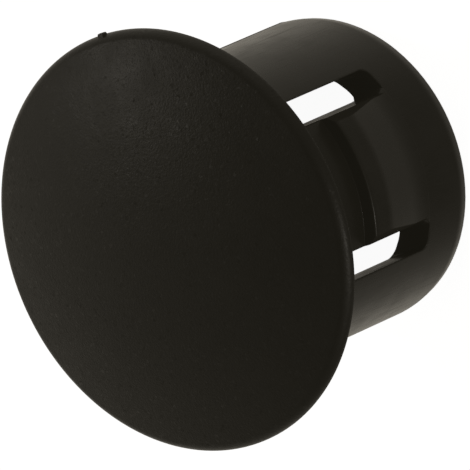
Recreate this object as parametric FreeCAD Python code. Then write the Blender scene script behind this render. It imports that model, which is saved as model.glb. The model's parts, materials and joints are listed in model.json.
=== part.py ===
"""Domed desk hole plug with a slotted shank and two barbed snap tongues.

Millimetres, +Z up. The origin is the centre of the cap's underside, which is the plane of
the desk top, so the neck and shank hang down from z = 0. The snap tongues face -Y and +Y.
"""

import FreeCAD, Part
import math
import os

Vec = FreeCAD.Vector
AXIS = Vec(0, 0, 1)

# Domed cap
CAP_RADIUS = 25.4
RIM_HEIGHT = 1.86
RIM_ROUNDING = 1.44
DOME_RISE = 3.5
CAP_WALL = 2.4
RIM_FOOT_BREAK = 0.25

# Mark left on the rim where the moulding's gate was cut
GATE_WIDTH = 1.0
GATE_HEIGHT = 0.8
GATE_PROUD = 0.28
GATE_FOOT = 0.5

# Neck under the cap, which centres the plug in the desk's hole
NECK_RADIUS = 18.8
NECK_LENGTH = 4.25

# Hollow shank
SHANK_RADIUS = 18.55
SHANK_WALL = 4.05
SHANK_LENGTH = 31.9
LEAD_IN_HEIGHT = 1.6
LEAD_IN_DEPTH = 0.35
LEAD_IN_ROUNDING = 4.0
END_ROUNDING = 0.7
BORE_BREAK = 0.4

# Windows that the tongues stand in
WINDOW_TOP = 5.0
WINDOW_FOOT = 24.0
SLOT_WIDTH = 3.3
SLOT_ROUNDING = 0.9

# Snap tongues
TONGUE_HALF_WIDTH = 7.8
TONGUE_TOP_GAP = 2.2
TONGUE_RECESS = 0.66
BARB_HEIGHT = 1.0
BARB_SHOULDER = 12.0
BARB_CREST = 15.2
CREST_ROUNDING = 8.0
SHOULDER_BREAK = 0.25
TONGUE_TOP_BREAK = 0.45
TONGUE_TIP_ROUNDING = 0.8
BEVEL_START = 16.9
BEVEL_ANGLE = 30

# Worked out from the sizes above
BORE_RADIUS = SHANK_RADIUS - SHANK_WALL
CAP_HEIGHT = RIM_HEIGHT + DOME_RISE
TONGUE_TOP = WINDOW_TOP + TONGUE_TOP_GAP
BEYOND = 2 * CAP_RADIUS


def rounded_outline(corners):
    """Closed wire in the XZ plane through (x, z, rounding) corners, joined by tangent arcs."""
    points = [Vec(x, 0, z) for x, z, rounding in corners]
    starts, middles, ends = [], [], []
    for i, (x, z, rounding) in enumerate(corners):
        corner = points[i]
        to_last = (points[i - 1] - corner).normalize()
        to_next = (points[(i + 1) % len(points)] - corner).normalize()
        half_angle = to_last.getAngle(to_next) / 2
        reach = rounding / math.tan(half_angle)
        bisector = (to_last + to_next).normalize()
        starts.append(corner + to_last * reach)
        middles.append(corner + bisector * (rounding / math.sin(half_angle) - rounding))
        ends.append(corner + to_next * reach)
    edges = []
    for i, (x, z, rounding) in enumerate(corners):
        if rounding:
            edges.append(Part.Arc(starts[i], middles[i], ends[i]).toShape())
        edges.append(Part.LineSegment(ends[i], starts[(i + 1) % len(corners)]).toShape())
    return Part.Wire(edges)


def turned(wire):
    """Solid of revolution about the plug's axis."""
    return Part.Face(wire).revolve(Vec(0, 0, 0), AXIS, 360)


def pushed_through(wire):
    """Prism of an XZ outline, reaching out past the shank on the -Y side."""
    return Part.Face(wire).extrude(Vec(0, -BEYOND, 0))


def dome_radius():
    """Radius of the dome that meets the rim's rounding smoothly."""
    rounding_centre = CAP_RADIUS - RIM_ROUNDING
    drop = DOME_RISE + RIM_ROUNDING
    return (rounding_centre ** 2 + drop ** 2 - RIM_ROUNDING ** 2) / (2 * DOME_RISE)


def arc_about_axis(radius, centre_z, start, end):
    """Arc of a sphere centred on the axis, between two (x, z) points of it."""
    middle_x = (start.x + end.x) / 2
    middle = Vec(middle_x, 0, centre_z + math.sqrt(radius ** 2 - middle_x ** 2))
    return Part.Arc(start, middle, end).toShape()


def gate_mark():
    """Small flat stub on the +X side of the rim."""
    root_depth = 1.0
    stub = Part.makeBox(
        root_depth + GATE_PROUD, GATE_WIDTH, GATE_HEIGHT,
        Vec(CAP_RADIUS - root_depth, -GATE_WIDTH / 2, GATE_FOOT),
    )
    outer_edges = [e for e in stub.Edges if e.CenterOfMass.x > CAP_RADIUS + GATE_PROUD - 0.01]
    return stub.makeFillet(0.1, outer_edges)


def domed_cap():
    """Dome with a rounded rim, flat underneath, and the neck that the shank goes on from."""
    outer = dome_radius()
    inner = outer - CAP_WALL
    centre_z = CAP_HEIGHT - outer
    rounding_centre = Vec(CAP_RADIUS - RIM_ROUNDING, 0, RIM_HEIGHT - RIM_ROUNDING)
    outward = (rounding_centre - Vec(0, 0, centre_z)).normalize()
    slope = math.atan2(outward.z, outward.x)
    half_way = Vec(math.cos(slope / 2), 0, math.sin(slope / 2))

    apex = Vec(0, 0, CAP_HEIGHT)
    dome_end = rounding_centre + outward * RIM_ROUNDING
    rim_middle = rounding_centre + half_way * RIM_ROUNDING
    rim_side = Vec(CAP_RADIUS, 0, RIM_HEIGHT - RIM_ROUNDING)
    foot_high = Vec(CAP_RADIUS, 0, RIM_FOOT_BREAK)
    foot_low = Vec(CAP_RADIUS - RIM_FOOT_BREAK, 0, 0)
    neck_step = NECK_RADIUS - SHANK_RADIUS
    neck_top = Vec(NECK_RADIUS, 0, 0)
    neck_foot = Vec(NECK_RADIUS, 0, neck_step - NECK_LENGTH)
    neck_end = Vec(SHANK_RADIUS, 0, -NECK_LENGTH)
    bore_low = Vec(BORE_RADIUS, 0, -NECK_LENGTH)
    bore_high = Vec(BORE_RADIUS, 0, centre_z + math.sqrt(inner ** 2 - BORE_RADIUS ** 2))
    hollow_top = Vec(0, 0, centre_z + inner)

    edges = [
        arc_about_axis(outer, centre_z, apex, dome_end),
        Part.Arc(dome_end, rim_middle, rim_side).toShape(),
        Part.LineSegment(rim_side, foot_high).toShape(),
        Part.LineSegment(foot_high, foot_low).toShape(),
        Part.LineSegment(foot_low, neck_top).toShape(),
        Part.LineSegment(neck_top, neck_foot).toShape(),
        Part.LineSegment(neck_foot, neck_end).toShape(),
        Part.LineSegment(neck_end, bore_low).toShape(),
        Part.LineSegment(bore_low, bore_high).toShape(),
        arc_about_axis(inner, centre_z, bore_high, hollow_top),
        Part.LineSegment(hollow_top, apex).toShape(),
    ]
    cap = turned(Part.Wire(edges))
    return cap.fuse(gate_mark()).removeSplitter()


def window_outline():
    """Window in the shank's wall, wide enough for a tongue with a slot on each side."""
    half_width = TONGUE_HALF_WIDTH + SLOT_WIDTH
    return rounded_outline([
        (-half_width, -WINDOW_TOP, SLOT_ROUNDING),
        (half_width, -WINDOW_TOP, SLOT_ROUNDING),
        (half_width, -WINDOW_FOOT, SLOT_ROUNDING),
        (-half_width, -WINDOW_FOOT, SLOT_ROUNDING),
    ])


def slotted_shank():
    """Two side walls and end ring in one turned tube with a window front and back."""
    tube = turned(rounded_outline([
        (BORE_RADIUS, -NECK_LENGTH, 0),
        (SHANK_RADIUS, -NECK_LENGTH, 0),
        (SHANK_RADIUS, LEAD_IN_HEIGHT - SHANK_LENGTH, LEAD_IN_ROUNDING),
        (SHANK_RADIUS - LEAD_IN_DEPTH, -SHANK_LENGTH, END_ROUNDING),
        (BORE_RADIUS + BORE_BREAK, -SHANK_LENGTH, 0),
        (BORE_RADIUS, BORE_BREAK - SHANK_LENGTH, 0),
    ]))
    front = pushed_through(window_outline())
    rear = front.mirror(Vec(0, 0, 0), Vec(0, 1, 0))
    return tube.cut([front, rear])


def tongue_section():
    """Turned section of the tongue: recessed strip, square shoulder, land and long ramp."""
    strip_radius = SHANK_RADIUS - TONGUE_RECESS
    crest_radius = SHANK_RADIUS + BARB_HEIGHT
    return rounded_outline([
        (BORE_RADIUS, -TONGUE_TOP, 0),
        (strip_radius, -TONGUE_TOP, TONGUE_TOP_BREAK),
        (strip_radius, -BARB_SHOULDER, SHOULDER_BREAK),
        (crest_radius, -BARB_SHOULDER, SHOULDER_BREAK),
        (crest_radius, -BARB_CREST, CREST_ROUNDING),
        (SHANK_RADIUS, -WINDOW_FOOT, 0),
        (BORE_RADIUS, -WINDOW_FOOT, 0),
    ])


def tongue_outline():
    """Front view of the tongue, flared at its root by the slots' rounded ends."""
    root_half_width = TONGUE_HALF_WIDTH + SLOT_ROUNDING
    root_top = SLOT_ROUNDING - WINDOW_FOOT
    diagonal = SLOT_ROUNDING * (1 - math.sqrt(0.5))
    edges = []
    for side in (-1, 1):
        root_corner = Vec(side * root_half_width, 0, -WINDOW_FOOT)
        flare_middle = Vec(side * (TONGUE_HALF_WIDTH + diagonal), 0, diagonal - WINDOW_FOOT)
        flare_top = Vec(side * TONGUE_HALF_WIDTH, 0, root_top)
        side_top = Vec(side * TONGUE_HALF_WIDTH, 0, -TONGUE_TOP - TONGUE_TIP_ROUNDING)
        tip_inset = TONGUE_TIP_ROUNDING * (1 - math.sqrt(0.5))
        tip_middle = Vec(side * (TONGUE_HALF_WIDTH - tip_inset), 0, -TONGUE_TOP - tip_inset)
        tip_end = Vec(side * (TONGUE_HALF_WIDTH - TONGUE_TIP_ROUNDING), 0, -TONGUE_TOP)
        edges += [
            Part.Arc(root_corner, flare_middle, flare_top).toShape(),
            Part.LineSegment(flare_top, side_top).toShape(),
            Part.Arc(side_top, tip_middle, tip_end).toShape(),
        ]
    tip_half = TONGUE_HALF_WIDTH - TONGUE_TIP_ROUNDING
    edges.append(Part.LineSegment(
        Vec(-tip_half, 0, -TONGUE_TOP), Vec(tip_half, 0, -TONGUE_TOP)).toShape())
    edges.append(Part.LineSegment(
        Vec(-root_half_width, 0, -WINDOW_FOOT), Vec(root_half_width, 0, -WINDOW_FOOT)).toShape())
    return Part.Wire(Part.__sortEdges__(edges))


def side_bevels():
    """Pair of wedges that take the side edges off the barb, more the prouder it stands."""
    lean = math.tan(math.radians(BEVEL_ANGLE))
    depth = 4 * BARB_HEIGHT
    foot = SLOT_ROUNDING - WINDOW_FOOT
    height = -BARB_SHOULDER - foot
    wedges = []
    for side in (-1, 1):
        inner = Vec(side * TONGUE_HALF_WIDTH, -BEVEL_START, foot)
        outer = inner + Vec(-side * depth * lean, -depth, 0)
        clear = inner + Vec(side * depth, -depth, 0)
        outline = Part.makePolygon([inner, outer, clear, inner])
        wedges.append(Part.Face(outline).extrude(Vec(0, 0, height)))
    return wedges


def snap_tongue():
    """Barbed tongue on the -Y side, standing on the end ring, with its barb's sides bevelled."""
    tongue = turned(tongue_section()).common(pushed_through(tongue_outline()))
    return tongue.cut(side_bevels())


front_tongue = snap_tongue()
nodes = {
    "domed_cap": domed_cap(),
    "slotted_shank": slotted_shank(),
    "snap_tongue_front": front_tongue,
    "snap_tongue_rear": front_tongue.rotated(Vec(0, 0, 0), AXIS, 180),
}
os.makedirs("parts", exist_ok=True)
for name, shape in nodes.items():
    solid = shape.Solids[0]
    solid.exportStep("parts/" + name + ".step")
    print(name, "solids", len(shape.Solids), "valid", solid.isValid(), "mm3", round(solid.Volume, 1))
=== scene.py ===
"""Looks of the domed desk hole plug: cap, hollow slotted shank and two snap tongues.

Shapes are written in millimetres and built in metres, in the CAD frame: the origin is the centre
of the cap's underside, +Z is up through the dome, and the tongues face -Y and +Y.
"""

import json
import math

import bmesh
import bpy
import numpy as np
from mathutils import Matrix, Vector


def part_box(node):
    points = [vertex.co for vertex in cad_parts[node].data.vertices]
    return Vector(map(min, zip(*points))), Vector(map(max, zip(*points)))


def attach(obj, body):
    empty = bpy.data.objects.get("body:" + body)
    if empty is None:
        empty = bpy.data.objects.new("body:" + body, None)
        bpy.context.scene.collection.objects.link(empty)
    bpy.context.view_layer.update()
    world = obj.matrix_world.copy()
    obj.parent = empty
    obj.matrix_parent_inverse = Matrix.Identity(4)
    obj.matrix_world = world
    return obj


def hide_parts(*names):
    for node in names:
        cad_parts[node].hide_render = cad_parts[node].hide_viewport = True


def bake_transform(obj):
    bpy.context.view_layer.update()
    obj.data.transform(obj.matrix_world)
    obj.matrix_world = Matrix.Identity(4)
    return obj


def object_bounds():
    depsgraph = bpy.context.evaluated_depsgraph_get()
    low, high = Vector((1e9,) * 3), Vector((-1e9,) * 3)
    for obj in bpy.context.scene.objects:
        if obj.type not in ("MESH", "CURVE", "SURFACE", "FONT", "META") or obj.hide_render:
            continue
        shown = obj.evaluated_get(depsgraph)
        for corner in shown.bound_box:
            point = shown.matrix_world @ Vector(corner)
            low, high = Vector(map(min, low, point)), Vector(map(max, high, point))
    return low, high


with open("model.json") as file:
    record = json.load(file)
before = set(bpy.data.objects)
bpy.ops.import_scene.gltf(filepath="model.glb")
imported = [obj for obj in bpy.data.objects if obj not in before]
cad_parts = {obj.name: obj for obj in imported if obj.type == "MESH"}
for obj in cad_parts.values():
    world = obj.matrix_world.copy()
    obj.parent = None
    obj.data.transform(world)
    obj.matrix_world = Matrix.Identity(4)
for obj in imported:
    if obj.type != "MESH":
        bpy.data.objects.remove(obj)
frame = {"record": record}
cad_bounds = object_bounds()

MM = 0.001
NODES = ("domed_cap", "slotted_shank", "snap_tongue_front", "snap_tongue_rear")
CAP_BOX, SHANK_BOX, TONGUE_BOX = (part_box(n) for n in NODES[:3])
NECK = next(m for m in frame["record"]["mounts"] if m["name"] == "shank_neck")["dims"]

# Cap. The sizes of this group and the next three are in millimetres.
CAP_RADIUS = CAP_BOX[1].y / MM
CAP_TOP = CAP_BOX[1].z / MM
RIM_HEIGHT = 1.86
RIM_ROUNDING = 1.44
CAP_WALL = 2.4
FOOT_BREAK = 0.25
FOOT_SOFTNESS = 0.05
CAVITY_RADIUS = 16.5
CAVITY_BREAK = 0.3
UNDERSIDE_INSET = 1.0
NECK_OVERLAP = 1.6
AXIS_GAP = 0.15

# Neck and shank
NECK_RADIUS = NECK["r_mm"]
NECK_END = -NECK["length_mm"]
SHANK_RADIUS = SHANK_BOX[1].y / MM
SHANK_END = SHANK_BOX[0].z / MM
BORE_RADIUS = 14.5
NECK_FILLET = 0.4
LEAD_IN_HEIGHT = 1.6
LEAD_IN_DEPTH = 0.35
LEAD_IN_ROUNDING = 4.0
END_ROUNDING = 0.7
BORE_BREAK = 0.4
BORE_BREAK_SOFTNESS = 0.12
CEILING_FILLET = 0.8
CEILING_LEDGE = 1.1
COLLAR_INSET = 0.7
COLLAR_RISE = 0.6
COLLAR_FOOT = 0.5
UNDERSIDE_OVERLAP = 0.02
STEP_SOFTNESS = 0.1
SEAM_HEIGHT = 0.05

# Windows
WINDOW_TOP = -5.0
WINDOW_FOOT = -24.0
WINDOW_HALF = 11.1
WINDOW_ROUNDING = 0.9
PATCH_HALF = 12.6
PATCH_TOP = -4.5
PATCH_FOOT = -25.3
EDGE_BREAK = 0.16
ROOT_FADE = 0.4
LEAST_BREAK = 0.02

# Tongues
TONGUE_HALF = 7.8
TONGUE_TOP = TONGUE_BOX[1].z / MM
STRIP_RADIUS = 17.89
CREST_RADIUS = 19.55
SHOULDER_Z = -12.0
CREST_Z = -15.2
CREST_ROUNDING = 8.0
SHOULDER_BREAK = 0.25
SHOULDER_FILLET = 0.06
TOP_BREAK = 0.45
TOP_START = 0.6
PROFILE_SPACING = 0.45
SIDE_SOFTNESS = 0.12
BEVEL_CLEARANCE = 0.14
TIP_ROUNDING = 0.8
BEVEL_START = 16.9
BEVEL_LEAN = math.tan(math.radians(30))
FOOT_BLEND = 1.75
FOOT_ROUNDING = 24.0
ROOT_SINK = 0.3
ROOT_INSET = 0.12
INNER_TOP_DROP = 0.02
SLANTED_END = SHOULDER_Z - 4

# Meshes
AROUND = 288
WEAR_FROM, WEAR_FULL = math.radians(7), math.radians(30)
SAME_SPOT = 1e-5 * MM


# ---------------------------------------------------------------- mesh helpers

def mark_wear(built):
    """Stores how much each point lies on an outer edge, where handling rubs the plastic."""
    layer = built.verts.layers.float.new("edge_wear")
    for edge in built.edges:
        if len(edge.link_faces) != 2:
            continue
        bend = edge.calc_face_angle_signed(0.0)
        if bend > WEAR_FROM:
            share = min(1.0, bend / WEAR_FULL)
            for vert in edge.verts:
                vert[layer] = max(vert[layer], share)


def new_piece(name, points, faces, body="plug", sharp=28):
    """Smooth-shaded object from points in millimetres. Edges that turn by over sharp degrees stay
    crisp, and points on the same spot become one."""
    mesh = bpy.data.meshes.new(name)
    mesh.from_pydata([tuple(c * MM for c in p) for p in points], [], faces)
    mesh.validate()
    cleaned = bmesh.new()
    cleaned.from_mesh(mesh)
    bmesh.ops.remove_doubles(cleaned, verts=cleaned.verts, dist=SAME_SPOT)
    bmesh.ops.recalc_face_normals(cleaned, faces=cleaned.faces)
    mark_wear(cleaned)
    cleaned.to_mesh(mesh)
    cleaned.free()
    mesh.shade_smooth()
    mesh.set_sharp_from_angle(angle=math.radians(sharp))
    piece = bpy.data.objects.new(name, mesh)
    bpy.context.scene.collection.objects.link(piece)
    if body:
        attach(piece, body)
    return piece


def rounded_profile(corners, steps=6):
    """(x, z) points of an open line through (x, z, rounding) corners, its inner ones rounded."""
    out = []
    for i, (x, z, rounding) in enumerate(corners):
        here = Vector((x, z))
        if not rounding:
            out.append((x, z))
            continue
        to_last = (Vector(corners[i - 1][:2]) - here).normalized()
        to_next = (Vector(corners[i + 1][:2]) - here).normalized()
        half = to_last.angle(to_next) / 2
        centre = here + (to_last + to_next).normalized() * (rounding / math.sin(half))
        start = here + to_last * (rounding / math.tan(half)) - centre
        end = here + to_next * (rounding / math.tan(half)) - centre
        turn = math.pi - 2 * half
        for k in range(steps + 1):
            t = k / steps
            a = math.sin((1 - t) * turn) / math.sin(turn)
            b = math.sin(t * turn) / math.sin(turn)
            out.append(tuple(centre + start * a + end * b))
    return out


def spread(start, end, count):
    """count points on the line from start up to, not with, end."""
    return [tuple(s + (e - s) * k / count for s, e in zip(start, end)) for k in range(count)]


def ring_faces(first, second, count):
    """Quads between two closed rings of count points, given by the index of their first point."""
    return [(first + i, first + (i + 1) % count, second + (i + 1) % count, second + i)
            for i in range(count)]


# ---------------------------------------------------------------- cap

def dome_radius():
    """Radius of the dome that passes through the cap's top and runs smoothly into the rim."""
    rounding_centre = CAP_RADIUS - RIM_ROUNDING
    rise = CAP_TOP - RIM_HEIGHT
    drop = rise + RIM_ROUNDING
    return (rounding_centre ** 2 + drop ** 2 - RIM_ROUNDING ** 2) / (2 * rise)


DOME = dome_radius()
DOME_CENTRE = CAP_TOP - DOME
CEILING = DOME - CAP_WALL


def dome_height(x):
    """Height of the outside of the dome at a distance x from the axis."""
    return DOME_CENTRE + math.sqrt(DOME ** 2 - x ** 2)


def ceiling_height(x):
    """Height of the hollow's ceiling at a distance x from the axis."""
    return DOME_CENTRE + math.sqrt(CEILING ** 2 - x ** 2)


def cap_profile():
    """From the top of the dome over the rim, under it and up into the hollow."""
    centre = Vector((CAP_RADIUS - RIM_ROUNDING, RIM_HEIGHT - RIM_ROUNDING))
    outward = (centre - Vector((0, DOME_CENTRE))).normalized()
    slope = math.atan2(outward.y, outward.x)
    dome_end = centre + outward * RIM_ROUNDING
    out = [(x, dome_height(x)) for x in np.linspace(AXIS_GAP, dome_end.x, 60)[:-1]]
    rim_steps = 18
    for k in range(rim_steps + 1):
        a = slope * (1 - k / rim_steps)
        out.append((centre.x + RIM_ROUNDING * math.cos(a), centre.y + RIM_ROUNDING * math.sin(a)))
    out += rounded_profile([
        (CAP_RADIUS, FOOT_BREAK + 2 * FOOT_SOFTNESS, 0),
        (CAP_RADIUS, FOOT_BREAK, FOOT_SOFTNESS),
        (CAP_RADIUS - FOOT_BREAK, 0, FOOT_SOFTNESS),
        (CAP_RADIUS - 2 * FOOT_BREAK, 0, 0),
    ], 3)
    out += spread((CAP_RADIUS - UNDERSIDE_INSET, 0), (NECK_RADIUS - NECK_OVERLAP, 0), 8)
    out += [(CAVITY_RADIUS + CAVITY_BREAK, 0), (CAVITY_RADIUS, CAVITY_BREAK)]
    out += [(x, ceiling_height(x)) for x in np.linspace(CAVITY_RADIUS, AXIS_GAP, 24)]
    return out


def turned(profile):
    """Rings about the axis, closed by a small fan at each end that lies near the axis."""
    points, faces = [], []
    for x, z in profile:
        for k in range(AROUND):
            a = 2 * math.pi * k / AROUND
            points.append((x * math.cos(a), x * math.sin(a), z))
    for j in range(len(profile) - 1):
        faces += ring_faces((j + 1) * AROUND, j * AROUND, AROUND)
    last = (len(profile) - 1) * AROUND
    points += [(0, 0, profile[0][1]), (0, 0, profile[-1][1])]
    top, bottom = len(points) - 2, len(points) - 1
    for k in range(AROUND):
        after = (k + 1) % AROUND
        faces.append((top, k, after))
        faces.append((bottom, last + after, last + k))
    return points, faces


def gate_mark():
    """Torn-off stub of the moulding's gate on the +X side of the rim. Its rows are sections
    from the root outwards: x, half width and half height."""
    root, proud = CAP_RADIUS - 0.35, CAP_BOX[1].x / MM
    rows = [(root, 0.56, 0.46), (CAP_RADIUS + 0.06, 0.5, 0.4), (proud - 0.08, 0.47, 0.37),
            (proud - 0.02, 0.4, 0.3), (proud, 0.2, 0.14)]
    middle_z, count, boxiness, deepest_tear = 0.9, 28, 0.4, 0.045
    rng = np.random.default_rng(7)
    ragged = rng.uniform(-deepest_tear, 0.0, (len(rows), count))
    points, faces = [], []
    for j, (x, half_y, half_z) in enumerate(rows):
        for k in range(count):
            a = 2 * math.pi * k / count
            c, s = math.cos(a), math.sin(a)
            y = half_y * math.copysign(abs(c) ** boxiness, c)
            z = half_z * math.copysign(abs(s) ** boxiness, s)
            points.append((x + ragged[j, k] * (j > 1), y, middle_z + z))
    for j in range(len(rows) - 1):
        faces += ring_faces(j * count, (j + 1) * count, count)
    points += [(root, 0, middle_z), (proud - 0.03, 0, middle_z)]
    end = (len(rows) - 1) * count
    for k in range(count):
        after = (k + 1) % count
        faces += [(len(points) - 2, after, k), (len(points) - 1, end + k, end + after)]
    return points, faces


# ---------------------------------------------------------------- shank

class Welder:
    """Collects points and faces, and joins points that fall on the same spot."""

    def __init__(self):
        self.points, self.faces, self.seen = [], [], {}

    def point(self, p):
        key = tuple(round(c, 4) for c in p)
        if key not in self.seen:
            self.seen[key] = len(self.points)
            self.points.append(p)
        return self.seen[key]

    def grid(self, rows):
        """Quads over a list of equally long rows of points."""
        ids = [[self.point(p) for p in row] for row in rows]
        for upper, lower in zip(ids, ids[1:]):
            for k in range(len(upper) - 1):
                quad = [upper[k], upper[k + 1], lower[k + 1], lower[k]]
                face = [v for i, v in enumerate(quad) if v != quad[i - 1]]
                if len(face) > 2:
                    self.faces.append(tuple(face))


def wall_point(u, z, radius, seam=0.0):
    """Point on a wall of the front half. u is x near the window; past the patch's edge it runs
    from 1 to 2 (or -1 to -2), up to the moulding's parting line at the side."""
    if abs(u[1]) < 1e-9:
        angle = math.asin(u[0] / radius)
    else:
        edge = math.asin(PATCH_HALF / radius)
        angle = math.copysign(edge + (math.pi / 2 - edge) * abs(u[1]), u[1])
        radius += seam * (abs(u[1]) > 1 - 1e-9)
    return (radius * math.sin(angle), -radius * math.cos(angle), z)


def side_columns():
    """Columns from the patch's edge to the parting line, the last ones close together."""
    shares = list(np.linspace(0, 0.94, 15)) + [0.97, 0.9925, 0.9965, 1.0]
    return [(0.0, s) for s in shares[1:]]


def window_loop():
    """Rounded window outline from its bottom middle anticlockwise seen from outside, with the
    outward direction and the matching point on the patch's rectangular border."""
    r = WINDOW_ROUNDING
    top_n, side_n, corner_n = 22, 16, 6
    half_top = WINDOW_HALF - r
    corners = [(half_top, WINDOW_FOOT + r, -90), (half_top, WINDOW_TOP - r, 0),
               (-half_top, WINDOW_TOP - r, 90), (-half_top, WINDOW_FOOT + r, 180)]
    border = [(PATCH_HALF, PATCH_FOOT), (PATCH_HALF, PATCH_TOP),
              (-PATCH_HALF, PATCH_TOP), (-PATCH_HALF, PATCH_FOOT)]
    out = []
    for i, (cx, cz, start) in enumerate(corners):
        straight_from = corners[i - 1]
        a = math.radians(start)
        along_from = (straight_from[0] + r * math.cos(a), straight_from[1] + r * math.sin(a))
        along_to = (cx + r * math.cos(a), cz + r * math.sin(a))
        normal = (math.cos(a), math.sin(a))
        flat_n = top_n if i % 2 == 0 else side_n
        last, here = border[i - 1], border[i]
        inset = 1.15 * r
        length = math.dist(last, here)
        for k in range(flat_n):
            t = k / flat_n
            point = tuple(p + (q - p) * t for p, q in zip(along_from, along_to))
            share = (inset + (length - 2 * inset) * t) / length
            edge = tuple(p + (q - p) * share for p, q in zip(last, here))
            out.append((point, normal, edge))
        after = border[(i + 1) % 4]
        before_corner = tuple(q + (p - q) * inset / length for p, q in zip(last, here))
        past = math.dist(here, after)
        after_corner = tuple(p + (q - p) * inset / past for p, q in zip(here, after))
        for k in range(corner_n):
            t = k / corner_n
            b = a + math.pi / 2 * t
            point = (cx + r * math.cos(b), cz + r * math.sin(b))
            if t < 0.5:
                edge = tuple(p + (q - p) * 2 * t for p, q in zip(before_corner, here))
            else:
                edge = tuple(p + (q - p) * (2 * t - 1) for p, q in zip(here, after_corner))
            out.append((point, (math.cos(b), math.sin(b)), edge))
    return out


def edge_break_at(point):
    """Softened edge of the window, fading out where the tongue's root meets the end ring."""
    x, z = point
    if z > WINDOW_FOOT + 0.01:
        return EDGE_BREAK
    root = TONGUE_HALF + WINDOW_ROUNDING
    return EDGE_BREAK * min(1.0, max(LEAST_BREAK, (abs(x) - root + ROOT_FADE) / ROOT_FADE))


def window_tunnel(welder, side):
    """Outer wall round a window, its softened edge, the cut through the wall, and the bore."""
    loop = window_loop()
    rows = []

    def row(place):
        points = [place(*entry) for entry in loop]
        rows.append([(x, side * y, z) for x, y, z in points + points[:1]])

    def surface(share, radius):
        def place(point, normal, edge):
            b = edge_break_at(point)
            near = (point[0] + normal[0] * b, point[1] + normal[1] * b)
            x = edge[0] + (near[0] - edge[0]) * share
            z = edge[1] + (near[1] - edge[1]) * share
            return wall_point((x, 0), z, radius)
        return place

    def cut(turn, radius, inward):
        def place(point, normal, edge):
            b = edge_break_at(point)
            off = b * (1 - math.sin(turn))
            x, y, z = wall_point((point[0] + normal[0] * off, 0), point[1] + normal[1] * off, radius)
            return (x, y + inward * b * (1 - math.cos(turn)), z)
        return place

    def through(share):
        def place(point, normal, edge):
            b = edge_break_at(point)
            outer = wall_point((point[0], 0), point[1], SHANK_RADIUS)[1] + b
            inner = wall_point((point[0], 0), point[1], BORE_RADIUS)[1] - b
            return (point[0], outer + (inner - outer) * share, point[1])
        return place

    for share in (0, 0.35, 0.7, 0.9, 1.0):
        row(surface(share, SHANK_RADIUS))
    for k in (1, 2, 3, 4):
        row(cut(math.pi / 2 * k / 4, SHANK_RADIUS, 1))
    for share in (0.3, 0.7):
        row(through(share))
    for k in (4, 3, 2, 1):
        row(cut(math.pi / 2 * k / 4, BORE_RADIUS, -1))
    for share in (1.0, 0.9, 0.7, 0.35, 0):
        row(surface(share, BORE_RADIUS))
    welder.grid(rows if side > 0 else [r[::-1] for r in rows])


def border_columns():
    """x of the patch's border points along its top, and z along its side."""
    loop = window_loop()
    xs = sorted({round(e[0], 6) for _, _, e in loop if abs(e[1] - PATCH_TOP) < 1e-6})
    zs = sorted({round(e[1], 6) for _, _, e in loop if abs(e[0] - PATCH_HALF) < 1e-6})
    return xs, zs


def shank_end_profile():
    """Outer wall below the windows, round the end and up the bore to the windows' height."""
    lead_in = SHANK_END + LEAD_IN_HEIGHT
    corners = [
        (SHANK_RADIUS, PATCH_FOOT, 0),
        (SHANK_RADIUS, lead_in, LEAD_IN_ROUNDING),
        (SHANK_RADIUS - LEAD_IN_DEPTH, SHANK_END, END_ROUNDING),
        (BORE_RADIUS + BORE_BREAK, SHANK_END, BORE_BREAK_SOFTNESS),
        (BORE_RADIUS, SHANK_END + BORE_BREAK, BORE_BREAK_SOFTNESS),
        (BORE_RADIUS, PATCH_FOOT, 0),
    ]
    line = rounded_profile(corners, 8)
    out = spread(line[0], line[1], 5) + line[1:-1]
    return out + spread(line[-2], line[-1], 6)[1:] + [line[-1]]


def shank_top_profile():
    """Up the bore from the windows, into the cap's ceiling, and down the neck outside."""
    ceiling = ceiling_height(BORE_RADIUS)
    ledge = BORE_RADIUS - CEILING_LEDGE
    corners = [
        (BORE_RADIUS, PATCH_TOP, 0),
        (BORE_RADIUS, ceiling, CEILING_FILLET),
        (ledge, ceiling_height(ledge) + UNDERSIDE_OVERLAP, 0),
        (BORE_RADIUS - COLLAR_INSET, ceiling + COLLAR_RISE, 0),
        (NECK_RADIUS - COLLAR_INSET, ceiling + COLLAR_RISE, 0),
        (NECK_RADIUS - COLLAR_INSET, COLLAR_FOOT, 0),
        (NECK_RADIUS + NECK_FILLET, UNDERSIDE_OVERLAP, 0),
        (NECK_RADIUS, UNDERSIDE_OVERLAP, NECK_FILLET),
        (NECK_RADIUS, NECK_END, STEP_SOFTNESS),
        (SHANK_RADIUS, NECK_END - NECK_RADIUS + SHANK_RADIUS, STEP_SOFTNESS),
        (SHANK_RADIUS, PATCH_TOP, 0),
    ]
    return rounded_profile(corners, 4)


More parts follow.
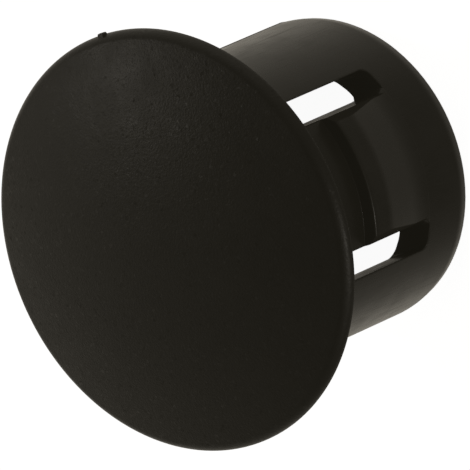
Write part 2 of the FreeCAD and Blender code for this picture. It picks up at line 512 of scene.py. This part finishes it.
def shank():
    """Neck, side walls and end ring in one closed skin, open at the windows and the bore."""
    welder = Welder()
    xs, zs = border_columns()
    seam_cols = side_columns()
    columns = [(0.0, -s) for _, s in reversed(seam_cols)] + [(x, 0.0) for x in xs] + seam_cols
    outer_from, seam_foot = NECK_RADIUS - 0.6, SHANK_END + 0.3
    for side in (1, -1):
        def row(radius, z, cols, seam):
            points = [wall_point(u, z, radius, seam) for u in cols]
            points = [(x, side * y, z) for x, y, z in points]
            return points if side > 0 else points[::-1]

        for profile in (shank_end_profile(), shank_top_profile()):
            rows = []
            for radius, z in profile:
                seam = SEAM_HEIGHT * (radius > outer_from) * (z < 0) * (z > seam_foot)
                rows.append(row(radius, z, columns, seam))
            welder.grid(rows)
        for sign in (-1, 1):
            cols = [(sign * PATCH_HALF, 0.0)] + [(0.0, sign * s) for _, s in seam_cols]
            if sign < 0:
                cols = cols[::-1]
            welder.grid([row(SHANK_RADIUS, z, cols, SEAM_HEIGHT) for z in reversed(zs)])
            welder.grid([row(BORE_RADIUS, z, cols, 0.0) for z in zs])
        window_tunnel(welder, side)
    return welder.points, welder.faces


# ---------------------------------------------------------------- tongues

def tongue_profile():
    """(radius, z) down the tongue's outer face: strip, shoulder, crest and long ramp."""
    line = rounded_profile([
        (BORE_RADIUS + TOP_START, TONGUE_TOP, 0),
        (STRIP_RADIUS, TONGUE_TOP, TOP_BREAK),
        (STRIP_RADIUS, SHOULDER_Z, SHOULDER_FILLET),
        (CREST_RADIUS, SHOULDER_Z, SHOULDER_BREAK),
        (CREST_RADIUS, CREST_Z, CREST_ROUNDING),
        (SHANK_RADIUS, WINDOW_FOOT + FOOT_BLEND, FOOT_ROUNDING),
        (SHANK_RADIUS, WINDOW_FOOT, 0),
    ], 6)
    out = []
    for a, b in zip(line, line[1:]):
        out += spread(a, b, max(1, round(math.dist(a, b) / PROFILE_SPACING)))
    return out + [line[-1], (SHANK_RADIUS - ROOT_INSET, WINDOW_FOOT - ROOT_SINK)]


def tongue_half_width(z):
    """Rounded tip corners at the top, straight sides, and a flare onto the end ring."""
    tip = TONGUE_TOP - TIP_ROUNDING
    if z > tip:
        rise = z - tip
        return TONGUE_HALF - TIP_ROUNDING + math.sqrt(max(0.0, TIP_ROUNDING ** 2 - rise ** 2))
    flare = WINDOW_FOOT + WINDOW_ROUNDING
    if z < flare:
        drop = min(flare - z, WINDOW_ROUNDING)
        return TONGUE_HALF + WINDOW_ROUNDING - math.sqrt(WINDOW_ROUNDING ** 2 - drop ** 2)
    return TONGUE_HALF


def tongue_loop(radius, z, inner_z, inner_radius):
    """Closed cross-section with bevelled side edges, from the inner face round to it again."""
    half = tongue_half_width(z)
    start_y = min(BEVEL_START, math.sqrt(radius ** 2 - half ** 2) - BEVEL_CLEARANCE)
    # Length of the bevel until it meets the outer face, found by halving
    low, high = 0.0, 4.0
    for _ in range(40):
        mid = (low + high) / 2
        if math.hypot(half - mid * BEVEL_LEAN, start_y + mid) < radius:
            low = mid
        else:
            high = mid
    end_x, end_y = half - low * BEVEL_LEAN, start_y + low
    inner_half = min(half, tongue_half_width(inner_z)) - SIDE_SOFTNESS
    inner_y = math.sqrt(inner_radius ** 2 - inner_half ** 2)
    side_y = math.sqrt(inner_radius ** 2 - half ** 2) + SIDE_SOFTNESS
    right = [(half, side_y + (start_y - side_y) * t, t) for t in (0, 0.25, 0.5, 0.75, 1)]
    right += [(half + (end_x - half) * t, start_y + (end_y - start_y) * t, 1) for t in (0.5, 1)]
    angle = math.atan2(end_x, end_y)
    arc = [(radius * math.sin(a), radius * math.cos(a), 1)
           for a in np.linspace(angle, -angle, 29)[1:-1]]
    left = [(-x, y, t) for x, y, t in reversed(right)]
    inner_angle = math.atan2(inner_half, inner_y)
    inner = [(inner_radius * math.sin(a), inner_radius * math.cos(a), 0)
             for a in np.linspace(-inner_angle, inner_angle, 17)]
    return [(x, -y, inner_z + (z - inner_z) * t) for x, y, t in right + arc + left + inner]


def tongue(side):
    """Barbed tongue with its root let a little way into the end ring."""
    profile = tongue_profile()
    steps = [0.0] + [math.dist(a, b) for a, b in zip(profile, profile[1:])]
    run = np.cumsum(steps)
    top = TONGUE_TOP - INNER_TOP_DROP
    level = next(i for i, (_, z) in enumerate(profile) if z < SLANTED_END)
    points, faces, count = [], [], 0
    for i, (radius, z) in enumerate(profile):
        inner_radius = BORE_RADIUS + ROOT_INSET * (i == len(profile) - 1)
        inner_z = z if i > level else top + (profile[level][1] - top) * run[i] / run[level]
        loop = tongue_loop(radius, z, inner_z, inner_radius)
        count = len(loop)
        points += loop
        if i:
            faces += ring_faces((i - 1) * count, i * count, count)
    faces.append(tuple(range(count)))
    faces.append(tuple(reversed(range((len(profile) - 1) * count, len(profile) * count))))
    if side < 0:
        return points, faces
    return [(-x, -y, z) for x, y, z in points], faces


# ---------------------------------------------------------------- materials

# Texture scales, in cells per metre
CLOUD_SCALE, GLOSS_SCALE, MOTTLE_SCALE, STREAK_SCALE = 110.0, 260.0, 900.0, 2600.0
WAVE_SCALE, FINE_SCALE = 420.0, 3800.0
PIT_SCALE, NODULE_SCALE, FLAT_SCALE = 4200.0, 3600.0, 2900.0

# Relief heights, in metres
WAVE_HEIGHT, FINE_HEIGHT, GRAIN_HEIGHT = 6.0e-6, 0.8e-6, 2.9e-5

STREAK_STRETCH = 0.06
CLOUD_SHARE = 0.65
WORN_SHARE, WORN_BRIGHTNESS, WORN_POLISH = 0.35, 2.1, 0.05
PIT_SHARE = 0.45
GRAIN_FULL_HEIGHT, LEAST_GRAIN = 0.3 * MM, 0.12
FLAT_RARITY, FLAT_TILT = 5.0, 0.22

PLASTIC_IOR, DULL_SIDE_IOR = 1.5, 1.03
DULL_FROM, DULL_FULL = 0.7, 0.86
DULL_REACH = 12.5 * MM


class Nodes:
    """Short way to add and join shader nodes."""

    def __init__(self, tree):
        self.tree = tree
        tree.nodes.clear()

    def add(self, kind, inputs=(), **settings):
        node = self.tree.nodes.new(kind)
        for key, value in settings.items():
            setattr(node, key, value)
        for key, value in dict(inputs).items():
            if isinstance(value, bpy.types.NodeSocket):
                self.tree.links.new(value, node.inputs[key])
            else:
                node.inputs[key].default_value = value
        return node

    def math(self, operation, a, b=0.0, clamp=False):
        node = self.add("ShaderNodeMath", {0: a, 1: b}, operation=operation, use_clamp=clamp)
        return node.outputs[0]

    def noise(self, where, scale, detail=2.0, roughness=0.5):
        node = self.add("ShaderNodeTexNoise", {
            "Vector": where, "Scale": scale, "Detail": detail, "Roughness": roughness})
        return node.outputs["Fac"]

    def range(self, value, low, high, to_low, to_high):
        return self.add("ShaderNodeMapRange", {
            "Value": value, "From Min": low, "From Max": high, "To Min": to_low, "To Max": to_high,
        }).outputs[0]

    def mix(self, share, a, b):
        node = self.add("ShaderNodeMix", {0: share, 6: a, 7: b}, data_type="RGBA")
        return node.outputs[2]


def shade(base, factor):
    """A base colour made darker or brighter, with full alpha."""
    return tuple(c * factor for c in base) + (1.0,)


def plastic(name, base, tint_spread, rough, rough_spread, scuffs, relief):
    """Moulded plastic: uneven tint and gloss, fine scuffs, rubbed edges, and a relief."""
    material = bpy.data.materials.new(name)
    material.use_nodes = True
    n = Nodes(material.node_tree)
    where = n.add("ShaderNodeTexCoord").outputs["Object"]
    wear = n.add("ShaderNodeAttribute", attribute_name="edge_wear").outputs["Fac"]

    clouds = n.noise(where, CLOUD_SCALE, 3.0)
    mottle = n.noise(where, MOTTLE_SCALE, 4.0, 0.6)
    tint = n.math("ADD", n.math("MULTIPLY", clouds, CLOUD_SHARE),
                  n.math("MULTIPLY", mottle, 1 - CLOUD_SHARE))
    body = n.mix(n.range(tint, 0.35, 0.65, 0.0, 1.0),
                 shade(base, 1 - tint_spread), shade(base, 1 + tint_spread))
    rub = n.math("MULTIPLY", wear, n.range(mottle, 0.35, 0.6, 0.25, 1.0))
    colour = n.mix(n.math("MULTIPLY", rub, WORN_SHARE), body, shade(base, WORN_BRIGHTNESS))

    stretched = n.add("ShaderNodeMapping", {"Vector": where, "Scale": (1.0, 1.0, STREAK_STRETCH)})
    streaks = n.noise(stretched.outputs[0], STREAK_SCALE, 2.0, 0.6)
    scuff = n.math("MULTIPLY", n.range(streaks, 0.52, 0.75, 0.0, 1.0), scuffs)
    gloss = n.range(n.noise(where, GLOSS_SCALE, 3.0), 0.3, 0.7,
                    rough - rough_spread, rough + rough_spread)
    polish = n.math("MULTIPLY", rub, WORN_POLISH)
    roughness = n.math("ADD", gloss, n.math("SUBTRACT", scuff, polish), True)

    shader = n.add("ShaderNodeBsdfPrincipled", {
        "Base Color": colour, "Roughness": roughness, "Normal": relief(n, where),
        "IOR": n.range(matt_sides(n, where), 0.0, 1.0, DULL_SIDE_IOR, PLASTIC_IOR)})
    n.add("ShaderNodeOutputMaterial", {"Surface": shader.outputs[0]})
    return material


def matt_sides(n, where):
    """1 on most of the part, falling to 0 on the sides of the slots and tongues to dull them."""
    normal = n.add("ShaderNodeNewGeometry").outputs["True Normal"]
    facing = n.math("ABSOLUTE", n.add("ShaderNodeSeparateXYZ", {0: normal}).outputs["X"])
    sideways = n.range(facing, DULL_FROM, DULL_FULL, 0.0, 1.0)
    across = n.math("ABSOLUTE", n.add("ShaderNodeSeparateXYZ", {0: where}).outputs["X"])
    between = n.math("LESS_THAN", across, DULL_REACH)
    return n.math("SUBTRACT", 1.0, n.math("MULTIPLY", sideways, between))


def polished_relief(n, where):
    """Faint waviness of a polished mould, with a trace of its machining."""
    waves = n.noise(where, WAVE_SCALE, 1.0)
    fine = n.noise(where, FINE_SCALE, 2.0)
    wavy = n.add("ShaderNodeBump", {"Height": waves, "Strength": 1.0, "Distance": WAVE_HEIGHT})
    machined = n.add("ShaderNodeBump", {
        "Height": fine, "Strength": 1.0, "Distance": FINE_HEIGHT, "Normal": wavy.outputs[0]})
    return machined.outputs[0]


def grained_relief(n, where):
    """Spark-eroded grain: fine pits over the dome and rim, with some slightly tilted flats. It
    fades out towards the cap's underside."""
    pits = n.add("ShaderNodeTexVoronoi", {
        "Vector": where, "Scale": PIT_SCALE, "Randomness": 1.0}, feature="SMOOTH_F1").outputs[0]
    nodules = n.noise(where, NODULE_SCALE, 3.0, 0.62)
    height = n.math("ADD", n.math("MULTIPLY", pits, PIT_SHARE), nodules)
    above = n.add("ShaderNodeSeparateXYZ", {0: where}).outputs["Z"]
    share = n.range(above, 0.0, GRAIN_FULL_HEIGHT, LEAST_GRAIN, 1.0)
    grain = n.add("ShaderNodeBump", {
        "Height": height, "Strength": share, "Distance": GRAIN_HEIGHT})

    flats = n.add("ShaderNodeTexVoronoi", {
        "Vector": where, "Scale": FLAT_SCALE, "Randomness": 1.0})
    lean_x, lean_y, chance = n.add("ShaderNodeSeparateXYZ", {0: flats.outputs["Color"]}).outputs
    lean = n.math("MULTIPLY", n.math("POWER", chance, FLAT_RARITY),
                  n.math("MULTIPLY", share, FLAT_TILT))
    tilt = n.add("ShaderNodeCombineXYZ", {
        0: n.math("MULTIPLY", n.math("SUBTRACT", lean_x, 0.5), lean),
        1: n.math("MULTIPLY", n.math("SUBTRACT", lean_y, 0.5), lean)})
    turned_away = n.add("ShaderNodeVectorMath", {0: grain.outputs[0], 1: tilt.outputs[0]})
    unit = n.add("ShaderNodeVectorMath", {0: turned_away.outputs[0]}, operation="NORMALIZE")
    return unit.outputs[0]


SLOTS = {m["slot"]: m["base_color"] for m in frame["record"]["materials"]}
grained = plastic("Grained_black_plastic", SLOTS["grained_plastic"][:3], tint_spread=0.16,
                  rough=0.38, rough_spread=0.05, scuffs=0.03, relief=grained_relief)
smooth = plastic("Smooth_black_plastic", SLOTS["smooth_plastic"][:3], tint_spread=0.12,
                 rough=0.27, rough_spread=0.05, scuffs=0.10, relief=polished_relief)


# ---------------------------------------------------------------- pieces

cap = new_piece("cap", *turned(cap_profile()))
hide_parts("domed_cap")
stub = new_piece("gate_mark", *gate_mark(), sharp=50)
tube = new_piece("shank", *shank())
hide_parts("slotted_shank")

tongue_pieces = []
for label, side, body in (("front", -1, "front_tongue"), ("rear", 1, "rear_tongue")):
    piece = new_piece("tongue_" + label, *tongue(side), body=None)
    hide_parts("snap_tongue_" + label)
    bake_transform(piece)
    tongue_pieces.append(piece)

for piece in (cap, stub):
    piece.data.materials.append(grained)
for piece in [tube] + tongue_pieces:
    piece.data.materials.append(smooth)


# ---------------------------------------------------------------- stage

low, high = cad_bounds
middle = (low + high) / 2


def direction(azimuth, elevation):
    """Unit vector from the object, azimuth 0 towards -Y and 90 towards +X."""
    a, e = math.radians(azimuth), math.radians(elevation)
    return Vector((math.sin(a) * math.cos(e), -math.cos(a) * math.cos(e), math.sin(e)))


VIEW_AZIMUTH, VIEW_ELEVATION, VIEW_ROLL = 6.23, 49.17, 114.01
VIEW_DISTANCE = 1.5
VIEW_LENS, SENSOR_WIDTH = 989.7, 36.0
AIM_OFFSET = Vector((-1.812, -4.814, 9.256)) * MM
NEAREST, FARTHEST = 0.05, 20.0

camera_data = bpy.data.cameras.new("Camera")
camera_data.lens = VIEW_LENS
camera_data.sensor_width = SENSOR_WIDTH
camera_data.clip_start, camera_data.clip_end = NEAREST, FARTHEST
camera = bpy.data.objects.new("Camera", camera_data)
bpy.context.scene.collection.objects.link(camera)
back = direction(VIEW_AZIMUTH, VIEW_ELEVATION)
level_right = (-back).cross(Vector((0, 0, 1))).normalized()
level_up = level_right.cross(-back)
roll = math.radians(VIEW_ROLL)
up = level_right * math.sin(roll) + level_up * math.cos(roll)
right = (-back).cross(up)
camera.matrix_world = Matrix.Translation(middle + AIM_OFFSET + back * VIEW_DISTANCE) @ Matrix(
    (right, up, back)).transposed().to_4x4()
bpy.context.scene.camera = camera

FLOOR_HALF = 3.0
FLOOR_GAP = 0.02 * MM
FLOOR_GLOW = 0.95
FLECK_SCALE, FLECK_DARKEST = 30.0, 0.97

floor_mesh = bpy.data.meshes.new("floor")
corners = [(-1, -1), (1, -1), (1, 1), (-1, 1)]
floor_mesh.from_pydata([(x * FLOOR_HALF, y * FLOOR_HALF, low.z - FLOOR_GAP) for x, y in corners],
                       [], [(0, 1, 2, 3)])
floor = bpy.data.objects.new("floor", floor_mesh)
bpy.context.scene.collection.objects.link(floor)
floor.visible_glossy = False
floor.visible_diffuse = False


def pale_floor():
    """Pale paper that glows by itself, and is clear when seen from below."""
    paper = bpy.data.materials.new("Pale_floor")
    paper.use_nodes = True
    n = Nodes(paper.node_tree)
    where = n.add("ShaderNodeTexCoord").outputs["Object"]
    fleck = n.range(n.noise(where, FLECK_SCALE, 3.0), 0.3, 0.7, FLECK_DARKEST, 1.0)
    paint = n.add("ShaderNodeCombineColor", {0: fleck, 1: fleck, 2: fleck})
    face = n.add("ShaderNodeBsdfPrincipled", {
        "Base Color": paint.outputs[0], "Roughness": 0.9, "Emission Color": (1, 1, 1, 1),
        "Emission Strength": FLOOR_GLOW})
    clear = n.add("ShaderNodeBsdfTransparent")
    below = n.add("ShaderNodeNewGeometry").outputs["Backfacing"]
    sheet = n.add("ShaderNodeMixShader", {0: below, 1: face.outputs[0], 2: clear.outputs[0]})
    n.add("ShaderNodeOutputMaterial", {"Surface": sheet.outputs[0]})
    return paper


floor_mesh.materials.append(pale_floor())

LIGHT_DISTANCE = 1.0
WARM_WHITE = (1.0, 0.94, 0.85)


def soft_light(name, azimuth, elevation, size, watts):
    """Round area light aimed at the middle of the part. The camera does not see the light."""
    data = bpy.data.lights.new(name, "AREA")
    data.shape = "DISK"
    data.size = size
    data.energy = watts
    data.color = WARM_WHITE
    light = bpy.data.objects.new(name, data)
    bpy.context.scene.collection.objects.link(light)
    aim = direction(azimuth, elevation)
    light.location = middle + aim * LIGHT_DISTANCE
    light.visible_camera = False
    light.rotation_mode = "QUATERNION"
    light.rotation_quaternion = aim.to_track_quat("Z", "Y")


soft_light("key", 150.0, 47.0, size=0.08, watts=0.30)
soft_light("rim", -28.0, 4.0, size=0.05, watts=0.45)

# Brighter regions of the made-up studio: direction, tightness and strength
TABLE = ((-0.07, 0.65, -0.757), 1.75, 0.43)
REAR_WALL = ((0, 1, 0), 1.5, 0.17)
STUDIO_WINDOW = ((1, 0, 0), 4.0, 0.25)
FRONT_CARD = ((-0.55, -0.82, 0.1), 8.0, 0.25)
GROUND_GLOW, LEAST_GLOW = 0.055, 0.01
CORNER_LOSS, CEILING_LOSS = 0.17, 0.04


def studio_glow(n):
    """Strength of the world's light by direction, chosen to give the photo's shading."""
    where = n.add("ShaderNodeTexCoord").outputs["Generated"]
    x, _, z = n.add("ShaderNodeSeparateXYZ", {0: where}).outputs

    def region(towards, tightness, strength):
        facing = n.add("ShaderNodeVectorMath", {0: where, 1: towards}, operation="DOT_PRODUCT")
        lit = n.math("MAXIMUM", facing.outputs["Value"], 0.0)
        return n.math("MULTIPLY", n.math("POWER", lit, tightness), strength)

    glow = n.math("ADD", region(*TABLE), GROUND_GLOW)
    glow = n.math("ADD", glow, region(*REAR_WALL))
    low_left = n.math("MULTIPLY", n.math("MINIMUM", x, 0.0), n.math("MINIMUM", z, 0.0))
    glow = n.math("SUBTRACT", glow, n.math("MULTIPLY", low_left, CORNER_LOSS))
    glow = n.math("ADD", glow, region(*STUDIO_WINDOW))
    glow = n.math("ADD", glow, region(*FRONT_CARD))
    overhead = n.math("MAXIMUM", z, 0.0)
    glow = n.math("SUBTRACT", glow, n.math("MULTIPLY", overhead, CEILING_LOSS))
    return n.math("MAXIMUM", glow, LEAST_GLOW)


def studio():
    """World that lights the part unevenly, while the camera sees plain white."""
    world = bpy.data.worlds.new("studio")
    world.use_nodes = True
    n = Nodes(world.node_tree)
    dim = n.add("ShaderNodeBackground", {"Color": (1, 0.93, 0.8, 1), "Strength": studio_glow(n)})
    bright = n.add("ShaderNodeBackground", {"Color": (1, 1, 1, 1), "Strength": 1.0})
    seen = n.add("ShaderNodeLightPath").outputs["Is Camera Ray"]
    blend = n.add("ShaderNodeMixShader", {0: seen, 1: dim.outputs[0], 2: bright.outputs[0]})
    n.add("ShaderNodeOutputWorld", {"Surface": blend.outputs[0]})
    return world


bpy.context.scene.world = studio()

# The photo's blacks are dark grey. Pure black is lifted by these amounts of linear light, which
# makes it about 20 of 255 on screen.
BLACK_LIFT = (-0.0074, -0.0066, -0.0045)
look = bpy.context.scene.view_settings
look.view_transform = "Standard"
look.use_curve_mapping = True
look.curve_mapping.black_level = BLACK_LIFT
look.curve_mapping.update()
